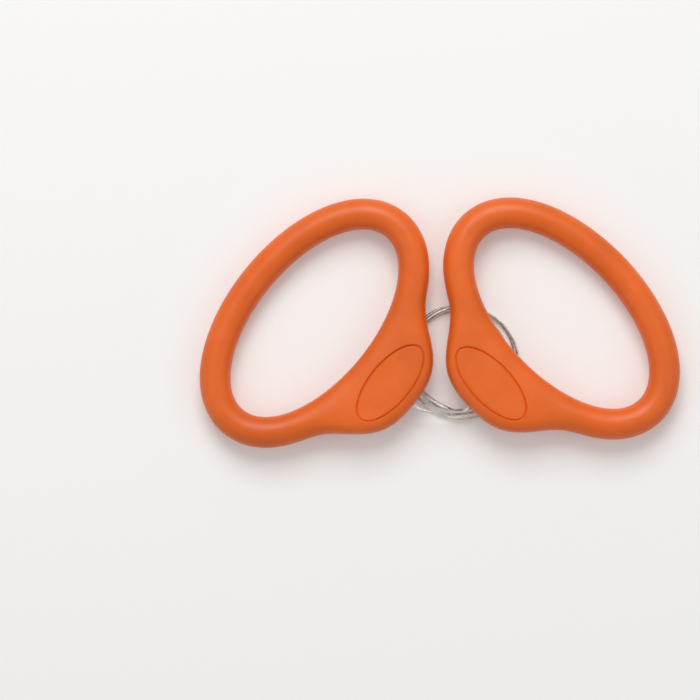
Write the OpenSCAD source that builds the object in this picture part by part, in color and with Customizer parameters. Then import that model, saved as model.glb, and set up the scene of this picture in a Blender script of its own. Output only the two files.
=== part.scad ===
// Wire clay cutter: two soft looped grips joined by one thin twisted steel wire.
// The wire lies coiled for storage, with both grips leaning on the coil.
// Millimetres, +Z up. The origin is on the table, under the middle of the two grips,
// and +X runs from the left grip to the right one.

/* [Finger opening] */
// Half length of the finger opening
open_a = 33.3; // [28.3:0.5:38.3]
// Half width of the finger opening
open_b = 17; // [14:0.1:20]

/* [Grip] */
// Diameter of the round loop
tube_d = 9.2; // [7.7:0.5:10.7]
// Depth of the boss, from the opening to the wire mouth
boss_depth = 21.2; // [19:0.2:25]
// Thickness of the boss
boss_t = 9.5; // [8.5:0.25:11]
// Angle round the opening, from the boss's middle, at which the boss has mostly run out
boss_spread = 28.5; // [24:0.5:32]
// How suddenly the boss runs out into the loop: larger is more sudden
boss_shoulder = 3.4; // [2.4:0.1:4.5]
// Squareness of the boss's section: 2 is an ellipse
boss_square = 3.2; // [2.2:0.1:4]

/* [Oval pad] */
// Half length of the bare oval pad on the boss
pad_a = 14; // [10:0.5:15]
// Half width of the oval pad
pad_b = 6.1; // [4.5:0.1:6.8]
// Distance from the wire mouth to the pad's middle
pad_from_mouth = 9.2; // [8.6:0.1:10.4]
// How far the pad sits to one side of the boss's middle, mirrored between the grips
pad_shift = 0.6; // [0:0.1:1]
// Depth of the pad's flat face below the crown of the boss
pad_sink = 0.35; // [0.3:0.05:0.6]
// Width of the groove round the pad
groove_w = 0.8; // [0.5:0.1:1.2]
// Depth of the groove below the flat face
groove_d = 0.5; // [0.3:0.1:0.8]

/* [Wire] */
// Diameter of the twisted wire
wire_d = 0.8; // [0.6:0.05:0.9]
// Clearance round the wire in its channel and in the sleeve
wire_play = 0.05; // [0.03:0.01:0.1]
// Length of wire that stands out of the mouth with the grip
wire_stub = 0.5; // [0.3:0.1:0.8]
// Gap between that stub and the free wire, where the wire bends
bend_gap = 0.32; // [0.3:0.02:0.4]

/* [Crimp sleeve] */
// Outer diameter of the sleeve crimped on each wire end
sleeve_d = 2.4; // [2:0.1:3]
// Length of the sleeve
sleeve_l = 6; // [4:0.5:8]
// Distance from the mouth to the sleeve
sleeve_depth = 8; // [6:0.5:10]
// Clearance between the sleeve and the pocket moulded round it
sleeve_play = 0.05; // [0.03:0.01:0.1]

/* [Wire coil] */
// Middle of the coil, across the grips
coil_x = 6.4; // [5.7:0.1:7.1]
// Middle of the coil, along the table
coil_y = -12.1; // [-12.6:0.1:-11.6]
// Radius at the start of the outer loop
coil_r = 17.3; // [16.5:0.1:18]
// How far each loop is drawn in from the last
loop_draw = 0.75; // [0.65:0.05:0.9]
// How far the first loop fans in at its slack side
fan_in = 0.3; // [0.2:0.05:0.5]
// How much more each further loop fans in
fan_more = 0.4; // [0.3:0.05:0.6]
// How far the slack side swings in and out, once every two loops
fan_swing = 1.3; // [1.1:0.05:1.5]
// How far the middle loop rides up over the other two
loop_lift = 1.4; // [1.3:0.05:1.7]
// Number of loops
loops = 2.5; // [2.5:2:4.5]

/* [Lay on the table] */
// Left grip: middle of its opening, across
left_x = -37.3; // [-38:0.1:-36.8]
// Left grip: middle of its opening, along
left_y = -0.6; // [-1.2:0.1:0.2]
// Left grip: turn about the vertical
left_turn = 50.4; // [48.9:0.5:51.9]
// Right grip: middle of its opening, across
right_x = 36.1; // [35.7:0.1:37.1]
// Right grip: middle of its opening, along
right_y = 0.8; // [0.2:0.1:1.6]
// Right grip: turn about the vertical
right_turn = -46.4; // [-47.9:0.5:-44.9]
// Clearance between the coil and the grips that lean on it
lean_gap = 0.3; // [0.2:0.05:0.6]

/* [Hidden] */

LOOP_STEPS = 96;
RING_STEPS = 24;
WIRE_SIDES = 8;
COIL_SIDES = 6;
COIL_STEP = 15;

grip_colour = [0.91, 0.43, 0.18];
wire_colour = [0.72, 0.71, 0.69];
sleeve_colour = [0.62, 0.63, 0.65];

// The free wire between each grip and the coil, as hand-laid points on the table.
left_route = [
    [-4.4, -26.7, 8.4], [-0.8, -27.3, 7.5], [3, -27.7, 6.1], [7, -27.6, 4.5],
    [11, -26.8, 3.3], [14.8, -24.7, 2.4], [18, -21.6, 1.8], [20.4, -17.7, 1.3]
];
right_route = [
    [-8.5, -14.6, 0.7], [-7.1, -17.9, 0.9], [-4.7, -21.2, 1.6], [-1.4, -23.8, 2.8],
    [2, -25.6, 4.4], [5, -26.7, 6.8]
];

// Shape of the grip, in its own frame: the boss points along -Y and the wire leaves there.
mouth_y = -(open_b + boss_depth);
far_y = open_b + tube_d / 2;
pad_y = mouth_y + pad_from_mouth;
pad_z = boss_t / 2 - pad_sink;
boss_round = 4;

function unit(v) = v / norm(v);

// Share of the boss in the section at angle t of the opening: 1 in its middle, 0 in the loop.
function boss_share(t) =
    let (off = abs((t + 270) % 360 - 180))
    exp(-pow(off / boss_spread, boss_shoulder));

// Superellipse point at angle q, with squareness n, on the unit circle's scale.
function square_round(q, n) = [
    sign(cos(q)) * pow(abs(cos(q)), 2 / n),
    sign(sin(q)) * pow(abs(sin(q)), 2 / n)
];

// One section of the grip, standing on the outline of the opening at angle t.
function grip_ring(t) =
    let (
        share = boss_share(t),
        rim = [open_a * cos(t), open_b * sin(t), 0],
        out = unit([cos(t) / open_a, sin(t) / open_b, 0]),
        depth = tube_d + (boss_depth - tube_d) * share,
        thick = tube_d + (boss_t - tube_d) * share,
        square = 2 + (boss_square - 2) * share
    )
    [for (k = [0:RING_STEPS - 1])
        let (p = square_round(360 * k / RING_STEPS, square))
        rim + out * depth * (1 + p[0]) / 2 + [0, 0, thick * p[1] / 2]];

grip_points = [for (i = [0:LOOP_STEPS - 1]) each grip_ring(360 * i / LOOP_STEPS)];

// Two triangles for each step round the section and each step round the loop.
grip_faces = [for (i = [0:LOOP_STEPS - 1], k = [0:RING_STEPS - 1])
    let (
        j = (i + 1) % LOOP_STEPS,
        l = (k + 1) % RING_STEPS,
        a = i * RING_STEPS + k,
        b = i * RING_STEPS + l,
        c = j * RING_STEPS + l,
        d = j * RING_STEPS + k
    )
    each [[a, b, c], [a, c, d]]];

// Lay of the coil: height, radius and point at turning angle s.
floor_z = wire_d / 2 + 0.05;
last_s = 360 * loops;
function slack(s) = (1 + cos(s + 50)) / 2;
function coil_radius(s) =
    coil_r - loop_draw * s / 360
    - (fan_in + fan_more * s / 360 + fan_swing * cos(s / 2)) * slack(s);
function coil_height(s) = floor_z + loop_lift * (1 - cos((s - 90) / 2)) / 2;
function coil_point(s) = [
    coil_x + coil_radius(s) * cos(s),
    coil_y + coil_radius(s) * sin(s),
    coil_height(s)
];
function coil_heading(s) = unit(coil_point(s + 1) - coil_point(s - 1));
coil_start = coil_point(0) - coil_heading(0) * wire_d;
coil_end = coil_point(last_s) + coil_heading(last_s) * wire_d;
coil_path = concat(
    [coil_start],
    [for (i = [0:last_s / COIL_STEP]) coil_point(i * COIL_STEP)],
    [coil_end]
);
coil_top = floor_z + loop_lift + wire_d / 2;

// The grips lean on the coil: the far side of each loop is on the table.
lean = asin((coil_top + lean_gap + (boss_t - tube_d) / 2) / (far_y + open_b + boss_round));
lift = far_y * sin(lean) + tube_d / 2 * cos(lean);

// Point p of a grip, moved to where the grip lies.
function laid(p, at, turn) =
    let (
        y = p[1] * cos(lean) + p[2] * sin(lean),
        z = p[2] * cos(lean) - p[1] * sin(lean)
    )
    [
        at[0] + p[0] * cos(turn) - y * sin(turn),
        at[1] + p[0] * sin(turn) + y * cos(turn),
        lift + z
    ];
left_at = [left_x, left_y];
right_at = [right_x, right_y];

// The origin goes under the middle of the box round both grips.
both = concat(
    [for (p = grip_points) laid(p, left_at, left_turn)],
    [for (p = grip_points) laid(p, right_at, right_turn)]
);
xs = [for (p = both) p[0]];
ys = [for (p = both) p[1]];
to_origin = [-(min(xs) + max(xs)) / 2, -(min(ys) + max(ys)) / 2, 0];

// Tangents of a smooth curve through points p, with set headings at its ends.
function curve_tangents(p, first, last) = [for (i = [0:len(p) - 1])
    i == 0 ? first : i == len(p) - 1 ? last :
    let (
        a = norm(p[i] - p[i - 1]),
        b = norm(p[i + 1] - p[i])
    )
    ((p[i + 1] - p[i]) * a / b + (p[i] - p[i - 1]) * b / a) / (a + b)];

// The same curve as points, with n steps between each two of p.
function curve(p, first, last, n) =
    let (t = curve_tangents(p, first, last))
    concat(
        [for (i = [0:len(p) - 2], k = [0:n - 1])
            let (
                u = k / n,
                d = norm(p[i + 1] - p[i])
            )
            p[i] * (2 * pow(u, 3) - 3 * pow(u, 2) + 1)
            + t[i] * d * (pow(u, 3) - 2 * pow(u, 2) + u)
            + p[i + 1] * (3 * pow(u, 2) - 2 * pow(u, 3))
            + t[i + 1] * d * (pow(u, 3) - pow(u, 2))],
        [p[len(p) - 1]]
    );

// Where the free wire starts beside each grip, and the way it leaves.
lead_y = mouth_y - wire_stub - bend_gap;
function mouth_heading(at, turn) =
    unit(laid([0, -1, 0], at, turn) - laid([0, 0, 0], at, turn));
left_lead_path = curve(
    concat([laid([0, lead_y, 0], left_at, left_turn)], left_route, [coil_start]),
    mouth_heading(left_at, left_turn), coil_heading(0), 2
);
right_lead_path = curve(
    concat([coil_end], right_route, [laid([0, lead_y, 0], right_at, right_turn)]),
    coil_heading(last_s), -mouth_heading(right_at, right_turn), 2
);

// A round tube along a path that never runs upright, square at both ends.
module tube(path, first, last, d, sides) {
    n = len(path);
    points = [for (i = [0:n - 1])
        let (
            along = i == 0 ? first : i == n - 1 ? last : unit(path[i + 1] - path[i - 1]),
            side = unit(cross(along, [0, 0, 1])),
            up = cross(side, along)
        )
        each [for (k = [0:sides - 1])
            let (q = 360 * (k + 0.5) / sides)
            path[i] + d / 2 * (side * cos(q) + up * sin(q))]];
    walls = [for (i = [0:n - 2], k = [0:sides - 1])
        let (
            l = (k + 1) % sides,
            a = i * sides
        )
        each [[a + k, a + l, a + sides + l], [a + k, a + sides + l, a + sides + k]]];
    first_cap = [for (k = [1:sides - 2]) [0, k + 1, k]];
    last_cap = [for (k = [1:sides - 2]) [0, k, k + 1] + (n - 1) * sides * [1, 1, 1]];
    polyhedron(points, concat(walls, first_cap, last_cap), convexity = 10);
}

// Least distance between wire centres a third of a loop or more apart, less the wire.
GAP_STEP = 5;
gap_points = [for (i = [0:last_s / GAP_STEP]) coil_point(i * GAP_STEP)];
least_gap = min([for (i = [0:len(gap_points) - 1], j = [i + 120 / GAP_STEP:1:len(gap_points) - 1])
    norm(gap_points[i] - gap_points[j])]) - wire_d;
echo(least_coil_gap_mm = least_gap);
wire_points = concat(left_lead_path, coil_path, right_lead_path);
echo(free_wire_mm = sum_of([for (i = [1:len(wire_points) - 1])
    norm(wire_points[i] - wire_points[i - 1])]));
function sum_of(v) = v * [for (x = v) 1];
echo(lean_deg = lean, to_origin = to_origin);

// Puts a piece of a grip where the grip lies.
module lay(at, turn) {
    translate(to_origin + [at[0], at[1], lift])
        rotate([0, 0, turn])
            rotate([-lean, 0, 0])
                children();
}

// A round bar along the wire's line, from depth a to depth b behind the mouth.
module along_wire(a, b, d, fn) {
    translate([0, mouth_y + a, 0])
        rotate([-90, 0, 0])
            cylinder(d = d, h = b - a, $fn = fn);
}

module oval(a, b) {
    polygon([for (i = [0:47]) [a * cos(7.5 * i), b * sin(7.5 * i)]]);
}

// The bare oval pad: a flat cut in the crown, with a groove round it.
module pad_cut(shift) {
    translate([shift, pad_y, pad_z])
        linear_extrude(boss_t)
            oval(pad_a, pad_b);
    translate([shift, pad_y, pad_z - groove_d])
        linear_extrude(boss_t)
            difference() {
                oval(pad_a + groove_w / 2, pad_b + groove_w / 2);
                oval(pad_a - groove_w / 2, pad_b - groove_w / 2);
            }
}

// One grip: an elliptical loop that swells into the boss, moulded round the wire's end.
module grip(shift) {
    difference() {
        polyhedron(grip_points, grip_faces, convexity = 10);
        along_wire(-1, sleeve_depth + sleeve_l, wire_d + 2 * wire_play, 32);
        along_wire(sleeve_depth - sleeve_play, sleeve_depth + sleeve_l + sleeve_play,
            sleeve_d + 2 * sleeve_play, 32);
        pad_cut(shift);
    }
}

// The sleeve crimped on the wire's end, which keeps it from pulling out of the grip.
module crimp_sleeve() {
    difference() {
        along_wire(sleeve_depth, sleeve_depth + sleeve_l, sleeve_d, 32);
        along_wire(sleeve_depth - 1, sleeve_depth + sleeve_l + 1, wire_d + wire_play, 32);
    }
}

// The end of the wire that the grip and the sleeve hold.
module wire_end() {
    along_wire(-wire_stub, sleeve_depth + sleeve_l, wire_d, 32);
}

module left_grip() {
    color(grip_colour) lay(left_at, left_turn) grip(pad_shift);
}

module right_grip() {
    color(grip_colour) lay(right_at, right_turn) grip(-pad_shift);
}

module left_crimp_sleeve() {
    color(sleeve_colour) lay(left_at, left_turn) crimp_sleeve();
}

module right_crimp_sleeve() {
    color(sleeve_colour) lay(right_at, right_turn) crimp_sleeve();
}

module left_wire_end() {
    color(wire_colour) lay(left_at, left_turn) wire_end();
}

module right_wire_end() {
    color(wire_colour) lay(right_at, right_turn) wire_end();
}

module left_lead() {
    color(wire_colour) translate(to_origin)
        tube(left_lead_path, mouth_heading(left_at, left_turn), coil_heading(0),
            wire_d, WIRE_SIDES);
}

module right_lead() {
    color(wire_colour) translate(to_origin)
        tube(right_lead_path, coil_heading(last_s), -mouth_heading(right_at, right_turn),
            wire_d, WIRE_SIDES);
}

module wire_coil() {
    color(wire_colour) translate(to_origin)
        tube(coil_path, coil_heading(0), coil_heading(last_s), wire_d, COIL_SIDES);
}

left_grip();
right_grip();
left_crimp_sleeve();
right_crimp_sleeve();
left_wire_end();
right_wire_end();
left_lead();
right_lead();
wire_coil();
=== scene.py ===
import math

import bmesh
import bpy
from mathutils import Euler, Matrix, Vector


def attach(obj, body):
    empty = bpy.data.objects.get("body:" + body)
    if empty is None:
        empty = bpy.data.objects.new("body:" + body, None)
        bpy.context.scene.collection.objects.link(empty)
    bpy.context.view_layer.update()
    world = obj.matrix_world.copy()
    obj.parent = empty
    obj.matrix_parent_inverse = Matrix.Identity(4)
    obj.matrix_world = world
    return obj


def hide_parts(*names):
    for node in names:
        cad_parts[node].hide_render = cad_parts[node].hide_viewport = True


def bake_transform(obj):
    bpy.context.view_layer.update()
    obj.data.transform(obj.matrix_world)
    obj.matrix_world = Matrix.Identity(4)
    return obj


bl_info = {
    "name": "Wire Clay Cutter",
    "version": (1, 0, 0),
    "blender": (4, 5, 0),
    "location": "3D View > Sidebar > Clay Cutter",
    "description": "Models a clay cutter: a twisted steel wire between two moulded finger grips",
    "category": "Object",
}

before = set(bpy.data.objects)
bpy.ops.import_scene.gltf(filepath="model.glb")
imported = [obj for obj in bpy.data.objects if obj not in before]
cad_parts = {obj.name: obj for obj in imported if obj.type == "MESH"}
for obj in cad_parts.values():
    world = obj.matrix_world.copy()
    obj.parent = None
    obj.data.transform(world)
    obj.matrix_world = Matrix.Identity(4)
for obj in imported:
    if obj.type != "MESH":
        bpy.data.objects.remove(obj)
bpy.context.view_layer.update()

MM = 0.001
SIDES = ("left", "right")


# --- The layout, repeated from the CAD source ---

TO_ORIGIN = Vector((0.0442588, 0.420979, 0)) * MM  # moves the layout's own origin to the frame's

# Each grip: the middle of its finger opening, and its turn. Its boss rests over the coil.
GRIP_PLACES = {
    "left": (Vector((-37.3, -0.6, 0)) * MM, math.radians(50.4)),
    "right": (Vector((36.1, 0.8, 0)) * MM, math.radians(-46.4)),
}
LEAN = math.radians(3.63386)
LIFT = 5.9598 * MM

# The wire, by how far it is from a mouth.
HINGE = 0.66 * MM  # out to where the wire bends as the grip swings
BEND_REACH = 1.6 * MM  # and ends this far past it
HELD_WIRE = 14 * MM  # wire inside each grip

# The coil. Its loops come close together on one side and stand apart on the other.
COIL_TURNS = 2.5
COIL_MIDDLE = Vector((6.4, -12.1, 0)) * MM
COIL_RADIUS = 17.3 * MM
COIL_APPROACH = 0.8 * MM  # straight wire before and after it
LOOP_INSET = 0.75  # millimetres that each loop lies inside the one before
SLACK_SIDE = math.radians(50)  # where the loops also sag inwards, clockwise from the coil's +X
SLACK_INSET, SLACK_GROWTH, SLACK_SWAY = 0.3, 0.4, 1.3  # millimetres: always, per loop, to and fro
COIL_LOW, COIL_RISE = 0.45, 1.4  # millimetres: the lowest centre line, and the rise from it
LOW_SIDE = math.radians(90)  # how far round the first loop it is lowest

# Points on the leads, in millimetres: from the left mouth to the coil, and from it to the right.
LEFT_ROUTE = [
    (-4.4, -26.7, 8.4), (-0.8, -27.3, 7.5), (3, -27.7, 6.1), (7, -27.6, 4.5),
    (11, -26.8, 3.3), (14.8, -24.7, 2.4), (18, -21.6, 1.8), (20.4, -17.7, 1.3),
]
RIGHT_ROUTE = [
    (-8.5, -14.6, 0.7), (-7.1, -17.9, 0.9), (-4.7, -21.2, 1.6), (-1.4, -23.8, 2.8),
    (2, -25.6, 4.4), (5, -26.7, 6.8),
]


# --- Shapes that the panel doesn't offer ---

RIM_STEPS = 96  # sections round a grip's finger opening
SECTION_STEPS = 24  # corners of each section
SAME_PLACE = 1e-5  # metres within which a corner counts as found

BOSS_REACH, BOSS_FADE = 28.5, 3.4  # degrees round the opening that the boss takes, and how sharply
BOSS_SQUARENESS = 1.2  # how much squarer than round its middle section is
RIDGE_WIDTH, RIDGE_HEIGHT = 0.13 * MM, 0.05 * MM  # the parting line, to each side and outwards
GROOVE_FALL, GROOVE_WALL = 1.1, 3.2  # the groove's trough: how narrow, and how steep its walls

# The drill for a mouth: places inwards from it, and the radius there, in millimetres.
DRILL = [
    (-0.6, 1.2), (0.0, 0.75),  # a flare that the wire leaves by
    (0.3, 0.45), (7.9, 0.45),  # the wire's channel
    (7.95, 1.25), (14.05, 1.25),  # the sleeve's pocket
]

STRANDS = 6  # round the wire's core
STRAND_CORNERS = 8
TWIST_STEPS = 12  # sections of a strand in each of its turns
MOST_CUTS = 99  # in the core, which hardly shows


# --- The stage's places, in metres ---

CAMERA_PLACE = (-0.026686, -0.008147, 1.1605)  # straight above the middle of the photograph
LAMPS = [  # name, place, size, watts
    ("Softbox_behind", (-0.1, 0.8, 0.95), 0.75, 9.0),
    ("Softbox_left", (-0.8, -0.1, 0.9), 0.8, 1.2),
    ("Softbox_right", (0.8, -0.1, 0.9), 0.8, 1.2),
]


# --- Small helpers ---

def linear(hex_colour):
    """A colour written as #RRGGBB, as the linear values that shaders take."""
    parts = [int(hex_colour[i:i + 2], 16) / 255 for i in (1, 3, 5)]
    return [p / 12.92 if p <= 0.04045 else ((p + 0.055) / 1.055) ** 2.4 for p in parts]


def tone(colour, share, lift=0):
    """A deeper or a paler colour."""
    return [min(1, part * share + lift) for part in colour]


def deselect_all():
    if bpy.context.mode != "OBJECT":
        bpy.ops.object.mode_set(mode="OBJECT")
    bpy.ops.object.select_all(action="DESELECT")


def make_active(piece):
    deselect_all()
    piece.select_set(True)
    bpy.context.view_layer.objects.active = piece


def name_active(name):
    piece = bpy.context.object
    piece.name = name
    piece.data.name = name
    return piece


def apply_place():
    bpy.ops.object.transform_apply(location=True, rotation=True, scale=True)


def pick(test, kind="verts"):
    """In edit mode, selects just the vertices, edges or faces that pass the test."""
    mesh = bpy.context.edit_object.data
    bpy.ops.mesh.select_mode(type={"verts": "VERT", "edges": "EDGE", "faces": "FACE"}[kind])
    bpy.ops.mesh.select_all(action="DESELECT")
    shape = bmesh.from_edit_mesh(mesh)
    for part in getattr(shape, kind):
        if test(part):
            part.select_set(True)
    shape.select_flush_mode()
    bmesh.update_edit_mesh(mesh)


def is_open(edge):
    return len(edge.link_faces) == 1


def face_outwards():
    """In edit mode, turns every face of the closed mesh outwards."""
    bpy.ops.mesh.select_all(action="SELECT")
    bpy.ops.mesh.normals_make_consistent(inside=False)


def modifier(piece, kind, **settings):
    """Adds a modifier with its settings and applies it."""
    make_active(piece)
    added = piece.modifiers.new(kind.title(), kind)
    for key, value in settings.items():
        setattr(added, key, value)
    bpy.ops.object.modifier_apply(modifier=added.name)


def weight(piece, name, shares):
    """Gives the piece a vertex group with a weight for each vertex in shares."""
    group = piece.vertex_groups.new(name=name)
    for index, share in shares.items():
        group.add([index], share, "REPLACE")
    return group.name


def lie_of(side):
    """Where a side's grip lies, and how it is turned."""
    middle, turn = GRIP_PLACES[side]
    return middle + TO_ORIGIN + Vector((0, 0, LIFT)), Euler((-LEAN, 0, turn))


def set_place(piece, side):
    """Lays a piece that was modelled flat where that side's grip lies, and applies the place."""
    make_active(piece)
    piece.location, piece.rotation_euler = lie_of(side)
    apply_place()


def place_of(side):
    """The same place as a matrix, for points."""
    spot, turned = lie_of(side)
    place = turned.to_matrix().to_4x4()
    place.translation = spot
    return place


def mouth_of(grip):
    """Where the wire leaves the boss, along Y, of a grip that is modelled flat."""
    return -(grip.half_width + grip.boss_depth)


# --- Materials ---

def new_material(name):
    """A material with no nodes in it yet."""
    made = bpy.data.materials.new(name)
    made.use_nodes = True
    made.node_tree.nodes.clear()
    return made


def node(owner, kind, settings=None, *sources, **links):
    """Adds a node to a material or world: settings by property or input name, a colour ramp's
    stops, and links from other nodes' outputs, to the inputs in order or by name."""
    tree = owner.node_tree
    made = tree.nodes.new("ShaderNode" + kind)
    for key, value in (settings or {}).items():
        if key == "stops":
            row = made.color_ramp.elements
            while len(row) < len(value):
                row.new(0.5)
            for element, (place, colour) in zip(row, value):
                element.position = place
                element.color = [*colour, 1]
        elif key in made.inputs:
            made.inputs[key].default_value = value
        else:
            setattr(made, key, value)
    for index, source in enumerate(sources):
        tree.links.new(source, made.inputs[index])
    for key, source in links.items():
        tree.links.new(source, made.inputs[key.replace("_", " ")])
    return made


def for_seen_rays(owner, unseen, seen):
    """A strength that is one thing to diffuse light, and another to the eye and to reflections."""
    path = node(owner, "LightPath").outputs
    either = {"operation": "ADD", "use_clamp": True}
    direct = node(owner, "Math", either, path["Is Camera Ray"], path["Is Glossy Ray"])
    any_seen = node(owner, "Math", either, direct.outputs[0], path["Is Transmission Ray"])
    return node(owner, "MapRange", {"To Min": unseen, "To Max": seen},
                Value=any_seen.outputs[0]).outputs["Result"]


def moulded_elastomer(colour):
    """Injection-moulded thermoplastic elastomer: dense orange, a satin skin with broad soft
    highlights, a fine spark-eroded grain from the tool, and a faintly polished patch here and
    there where the tool has worn."""
    made = new_material("Moulded orange elastomer")
    place = node(made, "TexCoord").outputs["Object"]
    # Pigment is not stirred in perfectly: slow clouds about 18 mm across.
    clouds = node(made, "TexNoise", {"Scale": 55, "Detail": 3, "Roughness": 0.55}, Vector=place)
    deep, pale = tone(colour, 0.90), tone(colour, 1.07, 0.006)
    body = node(made, "ValToRGB", {"stops": [(0.32, deep), (0.5, colour), (0.68, pale)]},
                Fac=clouds.outputs["Fac"])
    # Satin skin: roughness wanders over 8 mm patches.
    skin = node(made, "TexNoise", {"Scale": 120, "Detail": 4, "Roughness": 0.6}, Vector=place)
    rough = node(made, "MapRange",
                 {"From Min": 0.3, "From Max": 0.7, "To Min": 0.36, "To Max": 0.47},
                 Value=skin.outputs["Fac"])
    # Grain of the spark-eroded tool: really about 0.08 mm, drawn at 0.25 mm so that it shows.
    grain = node(made, "TexNoise", {"Scale": 3800, "Detail": 2, "Roughness": 0.5}, Vector=place)
    fine = node(made, "Bump", {"Strength": 0.22, "Distance": 0.00006},
                Height=grain.outputs["Fac"])
    # Sink marks: the thick boss shrinks a little as it cools, in swells about 10 mm wide.
    swell = node(made, "TexNoise", {"Scale": 95, "Detail": 1, "Roughness": 0.4}, Vector=place)
    both = node(made, "Bump", {"Strength": 0.35, "Distance": 0.0004},
                Height=swell.outputs["Fac"], Normal=fine.outputs["Normal"])
    shader = node(made, "BsdfPrincipled", {
        "IOR": 1.48, "Subsurface Weight": 0.05, "Subsurface Radius": (1.0, 0.35, 0.12),
        "Subsurface Scale": 0.0012,
    }, Base_Color=body.outputs["Color"], Roughness=rough.outputs["Result"],
        Normal=both.outputs["Normal"])
    node(made, "OutputMaterial", Surface=shader.outputs["BSDF"])
    return made


def drawn_steel(colour):
    """Drawn stainless steel strands: pale warm grey metal, bright on the crowns, with dull films
    of drawing soap between them."""
    made = new_material("Twisted stainless steel")
    place = node(made, "TexCoord").outputs["Object"]
    # Films of soap and handling, in blotches about 2 mm long.
    film = node(made, "TexNoise", {"Scale": 480, "Detail": 4, "Roughness": 0.6}, Vector=place)
    dull, clean = tone(colour, 0.6), tone(colour, 1.08)
    tint = node(made, "ValToRGB", {"stops": [(0.3, dull), (0.55, colour), (0.8, clean)]},
                Fac=film.outputs["Fac"])
    # Die marks: finer than the picture, drawn about 0.12 mm across.
    marks = node(made, "TexNoise", {"Scale": 8000, "Detail": 2, "Roughness": 0.5}, Vector=place)
    rough = node(made, "MapRange",
                 {"From Min": 0.25, "From Max": 0.75, "To Min": 0.22, "To Max": 0.38},
                 Value=film.outputs["Fac"])
    bump = node(made, "Bump", {"Strength": 0.15, "Distance": 0.00002},
                Height=marks.outputs["Fac"])
    shader = node(made, "BsdfPrincipled", {"Metallic": 1.0}, Base_Color=tint.outputs["Color"],
                  Roughness=rough.outputs["Result"], Normal=bump.outputs["Normal"])
    node(made, "OutputMaterial", Surface=shader.outputs["BSDF"])
    return made


def swaged_aluminium(colour):
    """An aluminium crimp sleeve squeezed in a swaging tool: grey, half matt, with bright rubbed
    bands where the jaws slid."""
    made = new_material("Swaged aluminium")
    place = node(made, "TexCoord").outputs["Object"]
    # Rubbed spots, about 1.4 mm apart.
    rubbed = node(made, "TexNoise", {"Scale": 700, "Detail": 3, "Roughness": 0.6}, Vector=place)
    tint = node(made, "ValToRGB", {"stops": [(0.35, tone(colour, 0.78)), (0.65, colour)]},
                Fac=rubbed.outputs["Fac"])
    rough = node(made, "MapRange",
                 {"From Min": 0.3, "From Max": 0.7, "To Min": 0.30, "To Max": 0.55},
                 Value=rubbed.outputs["Fac"])
    bump = node(made, "Bump", {"Strength": 0.3, "Distance": 0.00004},
                Height=rubbed.outputs["Fac"])
    shader = node(made, "BsdfPrincipled", {"Metallic": 1.0}, Base_Color=tint.outputs["Color"],
                  Roughness=rough.outputs["Result"], Normal=bump.outputs["Normal"])
    node(made, "OutputMaterial", Surface=shader.outputs["BSDF"])
    return made


def studio_paper(colour):
    """Pale matt paper under the object. It glows a little to the eye, as an overexposed
    background does."""
    made = new_material("Matt studio paper")
    place = node(made, "TexCoord").outputs["Object"]
    # Fibres: finer than the picture, drawn about 1 mm apart.
    fibre = node(made, "TexNoise", {"Scale": 900, "Detail": 2, "Roughness": 0.5}, Vector=place)
    tint = node(made, "ValToRGB", {"stops": [(0.35, tone(colour, 0.985)), (0.65, colour)]},
                Fac=fibre.outputs["Fac"])
    shader = node(made, "BsdfPrincipled", {
        "Roughness": 0.9, "Specular IOR Level": 0.2, "Emission Color": (1, 1, 1, 1),
    }, Base_Color=tint.outputs["Color"],
        Emission_Strength=for_seen_rays(made, unseen=0, seen=0.12))
    node(made, "OutputMaterial", Surface=shader.outputs["BSDF"])
    return made


def studio_sky():
    """A white room: dim to the object's diffuse light, near white to the eye and in the steel."""
    made = bpy.data.worlds.new("White_room")
    made.use_nodes = True
    made.node_tree.nodes.clear()
    glow = node(made, "Background", {"Color": (1, 1, 1, 1)},
                Strength=for_seen_rays(made, unseen=0.36, seen=0.85))
    node(made, "OutputWorld", Surface=glow.outputs["Background"])
    return made


def finish_with(piece, material):
    piece.data.materials.clear()
    piece.data.materials.append(material)


# --- The wire's route ---

def coil_point(s):
    """Where the coil's centre line is after s degrees of winding."""
    turn = math.radians(s)
    slack = (1 + math.cos(turn + SLACK_SIDE)) / 2
    sag = SLACK_INSET + SLACK_GROWTH * s / 360 + SLACK_SWAY * math.cos(turn / 2)
    radius = COIL_RADIUS - MM * (LOOP_INSET * s / 360 + sag * slack)
    height = MM * (COIL_LOW + COIL_RISE * (1 - math.cos((turn - LOW_SIDE) / 2)) / 2)
    return COIL_MIDDLE + Vector((radius * math.cos(turn), radius * math.sin(turn), height))


def coil_heading(s):
    return (coil_point(s + 1) - coil_point(s - 1)).normalized()


def smooth_curve(points, first, last, steps):
    """Points along a smooth curve through the given ones, with set headings at its ends."""
    slopes = [first]
    for before, here, after in zip(points, points[1:], points[2:]):
        a, b = (here - before).length, (after - here).length
        slopes.append(((after - here) * a / b + (here - before) * b / a) / (a + b))
    slopes.append(last)
    path = []
    for i in range(len(points) - 1):
        d = (points[i + 1] - points[i]).length
        for k in range(steps):
            u = k / steps
            path.append(points[i] * (2 * u**3 - 3 * u**2 + 1)
                        + slopes[i] * d * (u**3 - 2 * u**2 + u)
                        + points[i + 1] * (3 * u**2 - 2 * u**3)
                        + slopes[i + 1] * d * (u**3 - u**2))
    return path + [points[-1]]


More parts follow.
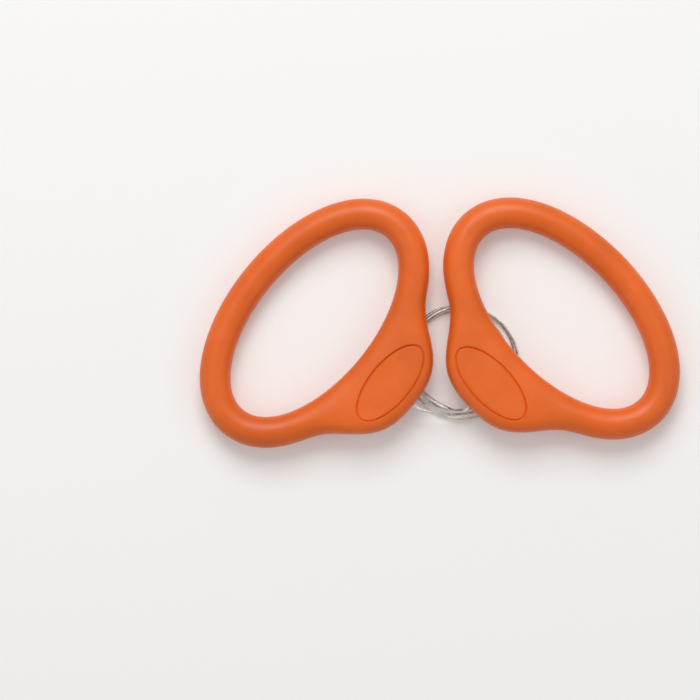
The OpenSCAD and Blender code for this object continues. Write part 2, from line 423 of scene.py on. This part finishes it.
def wire_route(mouth, steps, coil_step):
    """The wire's centre line, from its end in the left grip, round the coil, to its end in the
    right grip, with steps between the leads' points and coil_step degrees between the coil's."""
    end = 360 * COIL_TURNS
    inner, exits, headings = {}, {}, {}
    for side in SIDES:
        place = place_of(side)
        inner[side] = place @ Vector((0, mouth + HELD_WIRE, 0))
        exits[side] = place @ Vector((0, mouth - HINGE, 0))
        headings[side] = place.to_3x3() @ Vector((0, -1, 0))
    start_point = coil_point(0) - coil_heading(0) * COIL_APPROACH + TO_ORIGIN
    end_point = coil_point(end) + coil_heading(end) * COIL_APPROACH + TO_ORIGIN
    left = [exits["left"], *(Vector(p) * MM + TO_ORIGIN for p in LEFT_ROUTE), start_point]
    right = [end_point, *(Vector(p) * MM + TO_ORIGIN for p in RIGHT_ROUTE), exits["right"]]
    winding = [coil_point(i * coil_step) + TO_ORIGIN for i in range(int(end / coil_step) + 1)]
    return ([inner["left"]]
            + smooth_curve(left, headings["left"], coil_heading(0), steps)
            + winding
            + smooth_curve(right, coil_heading(end), -headings["right"], steps)
            + [inner["right"]])


def length_of(path):
    return sum((b - a).length for a, b in zip(path, path[1:]))


def stretch_of(path, start, stop):
    """The part of a path between two lengths along it."""
    part, done = [], 0
    for a, b in zip(path, path[1:]):
        long = (b - a).length
        for cut in (start, stop):
            if done <= cut < done + long:
                part.append(a.lerp(b, (cut - done) / long))
        if start < done + long < stop:
            part.append(b)
        done += long
    return part


# --- Sizes and colours that a user would change ---

def size(name, description, default, low, high):
    """A length property, given in millimetres."""
    return bpy.props.FloatProperty(name=name, description=description, default=default * MM,
                                   min=low * MM, max=high * MM, unit="LENGTH", precision=5)


def colour(name, description, hex_colour):
    return bpy.props.FloatVectorProperty(name=name, description=description,
                                         default=linear(hex_colour), min=0, max=1,
                                         size=3, subtype="COLOR")


class GripSizes(bpy.types.PropertyGroup):
    """Sizes of the moulded finger grips"""
    half_length: size(
        "Opening, half length", "Half the long way across the finger opening", 33.3, 20, 50)
    half_width: size(
        "Opening, half width", "Half the short way across the finger opening", 17, 10, 30)
    tube: size("Tube thickness", "Thickness of the round tube of the loop", 9.2, 5, 15)
    boss_depth: size(
        "Boss depth", "From the finger opening to the wire's mouth", 21.2, 10, 30)
    boss_thickness: size("Boss thickness", "Thickness of the flat boss", 9.5, 5, 15)
    pad_length: size("Pad, half length", "Half the length of the bare oval pad", 13.7, 8, 20)
    pad_width: size("Pad, half width", "Half the width of the bare oval pad", 6.05, 3, 10)
    pad_from_mouth: size(
        "Pad from mouth", "From the wire's mouth to the middle of the pad", 9.2, 6, 15)
    pad_shift: size(
        "Pad shift", "How far the pad sits to one side, mirrored between the grips", 0.6, 0, 2)
    pad_sink: size("Pad sink", "How far the pad's flat lies below the crown", 0.35, 0.1, 1)
    groove_width: size("Groove width", "Width of the groove round the pad", 0.5, 0.4, 2)
    groove_depth: size("Groove depth", "Depth of the groove round the pad", 0.5, 0.1, 1)


class WireSizes(bpy.types.PropertyGroup):
    """Sizes of the twisted wire"""
    thickness: size("Wire thickness", "Thickness over all the strands", 0.8, 0.4, 2)
    twist: size("Twist length", "Length in which a strand goes once round", 6.5, 3, 12)


class Finishes(bpy.types.PropertyGroup):
    """Colours of the materials"""
    elastomer: colour("Elastomer", "Colour of the moulded grips", "#E86408")
    steel: colour("Steel", "Colour of the twisted wire", "#CFCBC4")
    aluminium: colour("Aluminium", "Colour of the crimp sleeves", "#B4B6BA")
    paper: colour("Paper", "Colour of the floor", "#F3F2F0")


# --- The stage ---

class CLAYCUTTER_OT_stage(bpy.types.Operator):
    """Make the floor, the soft lamps and the camera"""
    bl_idname = "claycutter.stage"
    bl_label = "Studio Stage"

    def execute(self, context):
        deselect_all()
        bpy.ops.object.camera_add(location=CAMERA_PLACE, rotation=(0, 0, 0))
        camera = name_active("Copy_stand_camera")
        camera.data.lens = 200
        camera.data.sensor_width = 36
        camera.data.clip_start = 0.01
        context.scene.camera = camera

        deselect_all()
        bpy.ops.mesh.primitive_plane_add(size=4, location=(0, 0, 0))
        floor = name_active("Paper_floor")
        finish_with(floor, studio_paper(context.scene.clay_finishes.paper))

        for name, place, across, watts in LAMPS:
            deselect_all()
            bpy.ops.object.light_add(type="AREA", location=place)
            lamp = name_active(name)
            lamp.data.size = across
            lamp.data.energy = watts
            lamp.rotation_euler = (-Vector(place)).to_track_quat("-Z", "Y").to_euler()

        context.scene.world = studio_sky()
        context.scene.view_settings.view_transform = "Standard"
        return {"FINISHED"}


# --- The wire ---

def strand_bundle(name, start, length, wire):
    """A straight stretch of twisted wire along X from start: six strands round a core. Strands
    run on from one stretch into the next."""
    strand = wire.thickness / 3
    twists = math.tau * length / wire.twist
    rings = round(TWIST_STEPS * length / wire.twist)
    made = []
    for k in range(STRANDS):
        angle = math.radians(360 / STRANDS * k) + math.tau * start / wire.twist
        deselect_all()
        bpy.ops.mesh.primitive_circle_add(
            vertices=STRAND_CORNERS, radius=strand / 2, rotation=(0, math.radians(90), 0),
            location=(start, strand * math.cos(angle), strand * math.sin(angle)))
        piece = bpy.context.object
        apply_place()
        modifier(piece, "SCREW", axis="X", angle=twists, screw_offset=length, iterations=1,
                 steps=rings, render_steps=rings, use_merge_vertices=False)
        made.append(piece)
    deselect_all()
    bpy.ops.mesh.primitive_cylinder_add(
        vertices=STRAND_CORNERS, radius=strand / 2, depth=length, end_fill_type="NOTHING",
        rotation=(0, math.radians(90), 0), location=(start + length / 2, 0, 0))
    core = bpy.context.object
    apply_place()
    bpy.ops.object.mode_set(mode="EDIT")
    pick(lambda e: abs(e.verts[0].co.x - e.verts[1].co.x) > length / 2, "edges")
    bpy.ops.mesh.subdivide(number_cuts=min(MOST_CUTS, rings))
    made.append(core)
    deselect_all()
    for piece in made:
        piece.select_set(True)
    bpy.context.view_layer.objects.active = made[0]
    bpy.ops.object.join()
    bundle = name_active(name)
    bpy.ops.object.mode_set(mode="EDIT")
    pick(is_open, "edges")
    bpy.ops.mesh.fill_holes(sides=STRAND_CORNERS)
    face_outwards()
    make_active(bundle)
    bpy.ops.object.shade_smooth_by_angle(angle=math.radians(60))
    return bundle


def guide_along(route):
    """A line for the Curve modifier to bend a straight piece along."""
    deselect_all()
    bpy.ops.curve.primitive_nurbs_path_add()
    guide = name_active("Wire_guide")
    guide.data.splines.clear()
    line = guide.data.splines.new("POLY")
    line.points.add(len(route) - 1)
    for point, at in zip(line.points, route):
        point.co = [*at, 1]
    guide.location = (0, 0, 0)
    guide.data.dimensions = "3D"
    guide.data.twist_mode = "MINIMUM"
    return guide


class CLAYCUTTER_OT_wire(bpy.types.Operator):
    """Twist the wire, coil its free length and set its held ends in the grips"""
    bl_idname = "claycutter.wire"
    bl_label = "Twisted Wire"

    def execute(self, context):
        wire = context.scene.clay_wire
        mouth = mouth_of(context.scene.clay_grip)
        steel = drawn_steel(context.scene.clay_finishes.steel)
        route = wire_route(mouth, steps=12, coil_step=2.5)
        total = length_of(route)
        held = HELD_WIRE + HINGE + BEND_REACH  # the stretch in a grip, with the bend at its mouth
        guide = guide_along(route)
        stretches = [  # name, start, length
            ("Left_held_wire", 0, held),
            ("Twisted_wire", held, total - 2 * held),
            ("Right_held_wire", total - held, held),
        ]
        left, free, right = (strand_bundle(*stretch, wire) for stretch in stretches)
        for piece in (left, free, right):
            modifier(piece, "CURVE", object=guide, deform_axis="POS_X")
            finish_with(piece, steel)
        bpy.data.objects.remove(guide)

        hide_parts("left_lead", "wire_coil", "right_lead")
        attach(free, "wire")
        for piece, side in ((left, "left"), (right, "right")):
            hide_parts(f"{side}_wire_end")
            place = place_of(side)
            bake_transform(piece)

        path = wire_route(mouth, steps=2, coil_step=15)
        path = stretch_of(path, held, length_of(path) - held)
        return {"FINISHED"}


# --- The grips ---

class Section:
    """One cross-section of a grip, standing on the outline of its finger opening."""

    def __init__(self, grip, degrees):
        t = math.radians(degrees)
        across = abs((degrees + 270) % 360 - 180)  # degrees round the opening from the mouth
        share = math.exp(-((across / BOSS_REACH) ** BOSS_FADE))
        self.facing = math.atan2(math.sin(t) / grip.half_width, math.cos(t) / grip.half_length)
        self.out = Vector((math.cos(self.facing), math.sin(self.facing), 0))
        self.depth = grip.tube + (grip.boss_depth - grip.tube) * share
        self.thickness = grip.tube + (grip.boss_thickness - grip.tube) * share
        self.squareness = 2 + BOSS_SQUARENESS * share
        rim = Vector((grip.half_length * math.cos(t), grip.half_width * math.sin(t), 0))
        self.middle = rim + self.out * self.depth / 2


def square_up(section, ring):
    """Moves the corners of a round section out, towards a rounded square."""
    for k in range(1, SECTION_STEPS // 4):
        q = math.tau * k / SECTION_STEPS
        out_by, up_by = section.depth / 2 * math.cos(q), section.thickness / 2 * math.sin(q)

        def is_corner(v):
            off = v.co - section.middle
            return (v.index in ring
                    and abs(abs(off.dot(section.out)) - out_by) < SAME_PLACE
                    and abs(abs(off.z) - up_by) < SAME_PLACE)

        pick(is_corner)
        wide = math.cos(q) ** (2 / section.squareness - 1)
        high = math.sin(q) ** (2 / section.squareness - 1)
        bpy.ops.transform.resize(value=(wide, wide, high), center_override=section.middle)


def mould_loop(grip):
    """The loop and its boss: a circle is extruded round the opening, scaled at each step, and the
    boss's sections are squared up."""
    sections = [Section(grip, 90 + 360 * i / RIM_STEPS) for i in range(RIM_STEPS)]
    first = sections[0]
    deselect_all()
    bpy.ops.mesh.primitive_circle_add(
        vertices=SECTION_STEPS, radius=first.depth / 2, location=first.middle,
        rotation=(math.radians(90), 0, first.facing))
    loop = bpy.context.object
    apply_place()
    bpy.ops.object.mode_set(mode="EDIT")
    bpy.ops.mesh.select_mode(type="EDGE")
    bpy.ops.mesh.select_all(action="SELECT")
    for here, there in zip(sections, sections[1:]):
        bpy.ops.mesh.extrude_edges_move(
            TRANSFORM_OT_translate={"value": there.middle - here.middle})
        turn = (there.facing - here.facing + math.pi) % math.tau - math.pi
        bpy.ops.transform.rotate(value=-turn, orient_axis="Z", center_override=there.middle)
        wide = there.depth / here.depth
        bpy.ops.transform.resize(value=(wide, wide, there.thickness / here.thickness),
                                 center_override=there.middle)
    pick(is_open, "edges")
    bpy.ops.mesh.bridge_edge_loops()

    for i, section in enumerate(sections):
        if section.squareness >= 2.005:  # the others are round
            square_up(section, range(i * SECTION_STEPS, (i + 1) * SECTION_STEPS))
    face_outwards()
    return loop


def mark_parting_line(loop):
    """A fine ridge round the middle of the moulding, where the two halves of its tool met."""
    halfway = 1e-6  # metres from the middle plane within which a vertex is on it
    make_active(loop)
    bpy.ops.object.mode_set(mode="EDIT")
    pick(lambda e: all(abs(v.co.z) < halfway for v in e.verts), "edges")
    bpy.ops.mesh.bevel(offset=RIDGE_WIDTH, segments=2, profile=0.5, affect="EDGES")
    pick(lambda v: abs(v.co.z) < halfway)
    bpy.ops.transform.shrink_fatten(value=RIDGE_HEIGHT)


def from_oval(at, grip):
    """How far a point is outside the pad's outline, seen from above."""
    x = (at.x - grip.pad_shift) / grip.pad_length
    y = (at.y - mouth_of(grip) - grip.pad_from_mouth) / grip.pad_width
    r = math.hypot(x, y)
    if r < 0.2:  # near the middle, which has no nearest side
        return -grip.pad_width
    slope = math.hypot(x / grip.pad_length, y / grip.pad_width) / r
    return (r - 1) / slope


def sink_pad(loop, grip):
    """The bare oval pad: a flat pressed into the crown, with a fine groove round it."""
    top = 0.3 * grip.boss_thickness  # nothing below this is touched
    flat = grip.boss_thickness / 2 - grip.pad_sink
    make_active(loop)
    bpy.ops.object.mode_set(mode="EDIT")
    for band, cuts in ((1.2 * MM, 3), (0.6 * MM, 1)):  # a finer mesh beside the groove
        pick(lambda f: f.calc_center_median().z > top
             and abs(from_oval(f.calc_center_median(), grip)) < band, "faces")
        bpy.ops.mesh.subdivide(number_cuts=cuts, smoothness=0)
    deselect_all()
    lowered = {}
    for v in loop.data.vertices:
        if v.co.z > top:
            off = from_oval(v.co, grip) / (grip.groove_width / 2)
            inside = (1 - math.sin(max(-1, min(1, off)) * math.pi / 2)) / 2
            groove = math.exp(-GROOVE_FALL * abs(off) ** GROOVE_WALL)
            drop = max(0, v.co.z - flat) * inside + grip.groove_depth * groove
            if drop > 1e-7:
                lowered[v.index] = drop
    deepest = max(lowered.values())
    pressed = weight(loop, "pressed", {i: drop / deepest for i, drop in lowered.items()})
    modifier(loop, "DISPLACE", direction="Z", vertex_group=pressed, mid_level=0, strength=-deepest)
    bpy.ops.object.vertex_group_remove(all=True)


def drill_mouth(loop, grip):
    """The hole that the wire leaves by, with the sleeve's pocket behind it."""
    mouth = mouth_of(grip)
    start, radius = DRILL[0]
    deselect_all()
    bpy.ops.mesh.primitive_circle_add(
        vertices=32, radius=radius * MM, fill_type="NGON", rotation=(math.radians(90), 0, 0),
        location=(0, mouth + start * MM, 0))
    drill = bpy.context.object
    apply_place()
    bpy.ops.object.mode_set(mode="EDIT")
    bpy.ops.mesh.select_mode(type="FACE")
    bpy.ops.mesh.select_all(action="SELECT")
    for (y0, r0), (y1, r1) in zip(DRILL, DRILL[1:]):
        bpy.ops.mesh.extrude_region_move(TRANSFORM_OT_translate={"value": (0, (y1 - y0) * MM, 0)})
        bpy.ops.transform.resize(value=(r1 / r0, 1, r1 / r0),
                                 center_override=(0, mouth + y1 * MM, 0))
    face_outwards()
    modifier(loop, "BOOLEAN", operation="DIFFERENCE", object=drill, solver="EXACT")
    bpy.data.objects.remove(drill)


class CLAYCUTTER_OT_grips(bpy.types.Operator):
    """Mould one finger grip, copy it for the other hand and lay both in place"""
    bl_idname = "claycutter.grips"
    bl_label = "Finger Grips"

    def execute(self, context):
        grip = context.scene.clay_grip
        loop = mould_loop(grip)
        modifier(loop, "SUBSURF", levels=2, render_levels=2)
        mark_parting_line(loop)
        sink_pad(loop, grip)
        drill_mouth(loop, grip)
        elastomer = moulded_elastomer(context.scene.clay_finishes.elastomer)
        make_active(loop)
        bpy.ops.object.duplicate()
        other = bpy.context.object
        bpy.ops.object.mode_set(mode="EDIT")
        bpy.ops.mesh.select_all(action="SELECT")
        bpy.ops.transform.resize(value=(-1, 1, 1), center_override=(0, 0, 0))
        bpy.ops.mesh.normals_make_consistent(inside=False)
        for piece, side in ((loop, "left"), (other, "right")):
            make_active(piece)
            name_active(f"{side.title()}_finger_grip")
            set_place(piece, side)
            bpy.ops.object.shade_smooth_by_angle(angle=math.radians(40))
            finish_with(piece, elastomer)
            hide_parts(f"{side}_grip")
            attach(piece, f"{side}_handle")
        return {"FINISHED"}


# --- The sleeves ---

class CLAYCUTTER_OT_sleeves(bpy.types.Operator):
    """Finish the crimp sleeves that hold the wire inside the grips"""
    bl_idname = "claycutter.sleeves"
    bl_label = "Crimp Sleeves"

    def execute(self, context):
        aluminium = swaged_aluminium(context.scene.clay_finishes.aluminium)
        for side in SIDES:
            finish_with(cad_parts[f"{side}_crimp_sleeve"], aluminium)
        return {"FINISHED"}


class CLAYCUTTER_PT_panel(bpy.types.Panel):
    """Lists the steps that model the clay cutter, and its sizes and colours"""
    bl_label = "Clay Cutter"
    bl_idname = "CLAYCUTTER_PT_panel"
    bl_space_type = "VIEW_3D"
    bl_region_type = "UI"
    bl_category = "Clay Cutter"

    def draw(self, context):
        column = self.layout.column()
        for step in STEPS:
            column.operator(step.bl_idname)
        for group in (getattr(context.scene, name) for name in GROUPS):
            for name in group.bl_rna.properties.keys():
                if name not in ("rna_type", "name"):
                    column.prop(group, name)


GROUPS = {"clay_grip": GripSizes, "clay_wire": WireSizes, "clay_finishes": Finishes}
STEPS = (CLAYCUTTER_OT_stage, CLAYCUTTER_OT_wire, CLAYCUTTER_OT_grips, CLAYCUTTER_OT_sleeves)


def register():
    for name, group in GROUPS.items():
        bpy.utils.register_class(group)
        setattr(bpy.types.Scene, name, bpy.props.PointerProperty(type=group))
    for step in STEPS:
        bpy.utils.register_class(step)
    bpy.utils.register_class(CLAYCUTTER_PT_panel)


def unregister():
    bpy.utils.unregister_class(CLAYCUTTER_PT_panel)
    for step in reversed(STEPS):
        bpy.utils.unregister_class(step)
    for name, group in GROUPS.items():
        delattr(bpy.types.Scene, name)
        bpy.utils.unregister_class(group)


def main():
    register()
    bpy.ops.claycutter.stage()
    bpy.ops.claycutter.wire()
    bpy.ops.claycutter.grips()
    bpy.ops.claycutter.sleeves()


if __name__ == "__main__":
    main()
